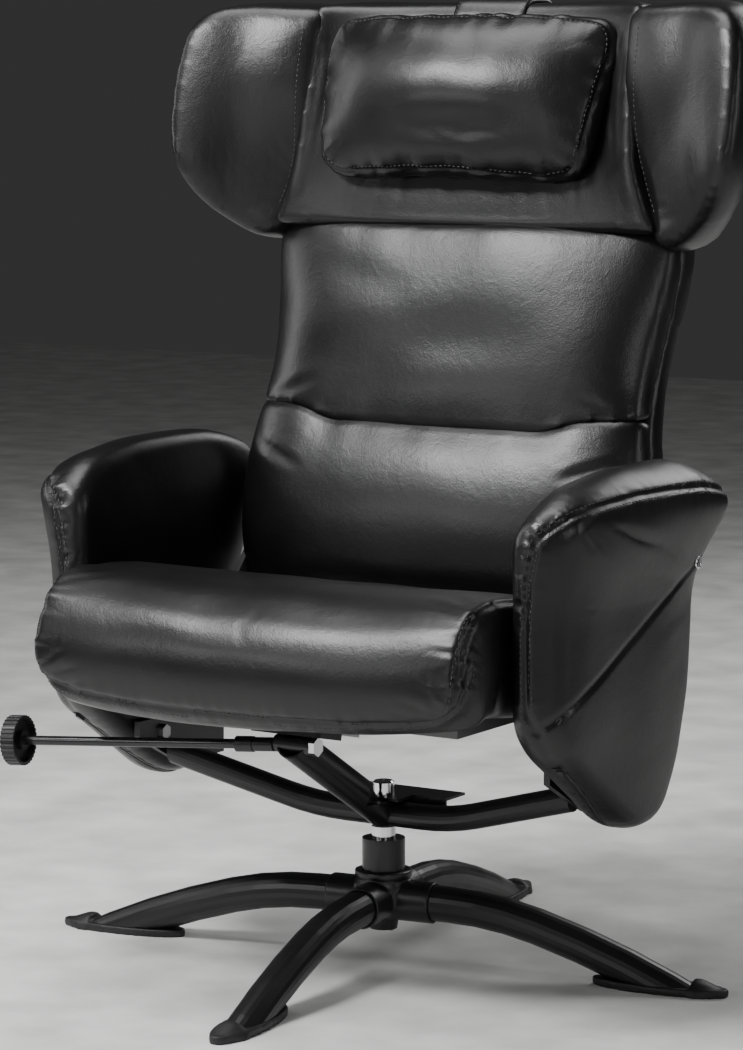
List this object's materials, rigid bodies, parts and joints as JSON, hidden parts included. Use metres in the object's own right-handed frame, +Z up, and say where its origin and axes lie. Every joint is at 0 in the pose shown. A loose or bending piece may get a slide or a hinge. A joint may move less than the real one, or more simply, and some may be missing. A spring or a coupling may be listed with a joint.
{
  "type": "swivel reclining armchair",
  "caption": "Wing-back swivel recliner armchair in black leather: tilting back with coupled gliding seat, padded arms, adjustable head pillow, friction knob and a cross-shaped steel base.",
  "frame": {"origin": "on the floor, under the column's axis", "axes": "+Z up along the column, the chair faces -Y, +X is the sitter's left"},
  "size_m": [0.8442, 0.8442, 1.1079],
  "materials": {
    "leather_black": "satin",
    "frame_black": "satin",
    "rod_steel": "satin",
    "shoe_plastic": "matte",
    "bush_plastic": "satin",
    "plate_steel": "satin",
    "chrome": "polished",
    "bare_steel": "satin",
    "inner_steel": "satin",
    "webbing": "matte",
    "zip_black": "satin",
    "knob_plastic": "satin"
  },
  "bodies": {
    "base": {"hub_casting": "frame_black", "leg_front": "frame_black", "leg_left": "frame_black", "leg_rear": "frame_black", "leg_right": "frame_black", "shoe_front": "shoe_plastic", "shoe_left": "shoe_plastic", "shoe_rear": "shoe_plastic", "shoe_right": "shoe_plastic", "base_screws": "bare_steel", "base_cap": "shoe_plastic", "column_sleeve": "frame_black", "column_bush": "bush_plastic", "thrust_bearing": "bare_steel"},
    "chassis": {"spindle": "chrome", "spindle_cap": "chrome", "spindle_socket": "frame_black", "cross_tube": "frame_black", "front_strut": "frame_black", "mounting_plate": "plate_steel", "pivot_tube": "frame_black", "pivot_bolt": "chrome", "glide_carriage": "bush_plastic", "rod_housing": "frame_black", "arm_bracket_left": "frame_black", "arm_bracket_right": "frame_black", "arm_bracket_bolts": "bare_steel", "arm_frame_left": "inner_steel", "arm_frame_right": "inner_steel", "arm_pad_left": "leather_black", "arm_pad_right": "leather_black", "arm_zip_left": "zip_black", "arm_zip_right": "zip_black", "recline_bolt_left": "bare_steel", "recline_bolt_right": "bare_steel", "zip_slider_left": "chrome", "zip_slider_right": "chrome"},
    "knob": {"friction_rod": "rod_steel", "rod_collar": "frame_black", "knob": "knob_plastic"},
    "seat": {"seat_frame": "inner_steel", "seat_webbing": "webbing", "seat_rails": "bare_steel", "seat_rear_pins": "bare_steel", "seat_cushion": "leather_black"},
    "back": {"back_frame": "inner_steel", "back_webbing": "webbing", "recline_plate_left": "inner_steel", "recline_plate_right": "inner_steel", "lumbar_cushion": "leather_black", "upper_cushion": "leather_black", "head_panel": "leather_black", "wing_left": "leather_black", "wing_right": "leather_black", "back_shell": "leather_black", "head_strap": "leather_black"},
    "pillow": {"head_pillow": "leather_black"},
    "counterweight": {"strap_counterweight": "leather_black"},
    "ring_left": {"zip_ring_left": "chrome"},
    "ring_right": {"zip_ring_right": "chrome"}
  },
  "joints": [
    {"name": "swivel", "type": "hinge", "parent": "base", "child": "chassis", "pos_m": [0, 0, 0.1], "axis": [0, 0, 1], "continuous": true},
    {"name": "back_recline", "type": "hinge", "parent": "chassis", "child": "back", "pos_m": [0, 0.085, 0.4], "axis": [-1, 0, 0], "range_deg": [0, 25]},
    {"name": "seat_glide", "type": "slide", "parent": "chassis", "child": "seat", "axis": [0, -0.9763, 0.2164], "range_m": [0, 0.0391]},
    {"name": "knob_turn", "type": "hinge", "parent": "chassis", "child": "knob", "pos_m": [0, -0.187, 0.283], "axis": [-0.9867, -0.1515, -0.0585], "range_deg": [-180, 180]},
    {"name": "pillow_slide", "type": "slide", "parent": "back", "child": "pillow", "axis": [0, 0.2588, 0.9659], "range_m": [-0.08, 0.02]},
    {"name": "counterweight_slide", "type": "slide", "parent": "back", "child": "counterweight", "axis": [0, 0.1149, 0.9934], "range_m": [-0.02, 0.08]},
    {"name": "ring_left_swing", "type": "hinge", "parent": "chassis", "child": "ring_left", "pos_m": [0.354, 0.098, 0.484], "axis": [1, 0, 0], "range_deg": [-60, 60]},
    {"name": "ring_right_swing", "type": "hinge", "parent": "chassis", "child": "ring_right", "pos_m": [-0.354, 0.098, 0.484], "axis": [1, 0, 0], "range_deg": [-60, 60]}
  ],
  "couplings": [
    {"joint": "seat_glide", "follows": "back_recline", "m_per_rad": 0.08929},
    {"joint": "counterweight_slide", "follows": "pillow_slide", "ratio": -1}
  ]
}
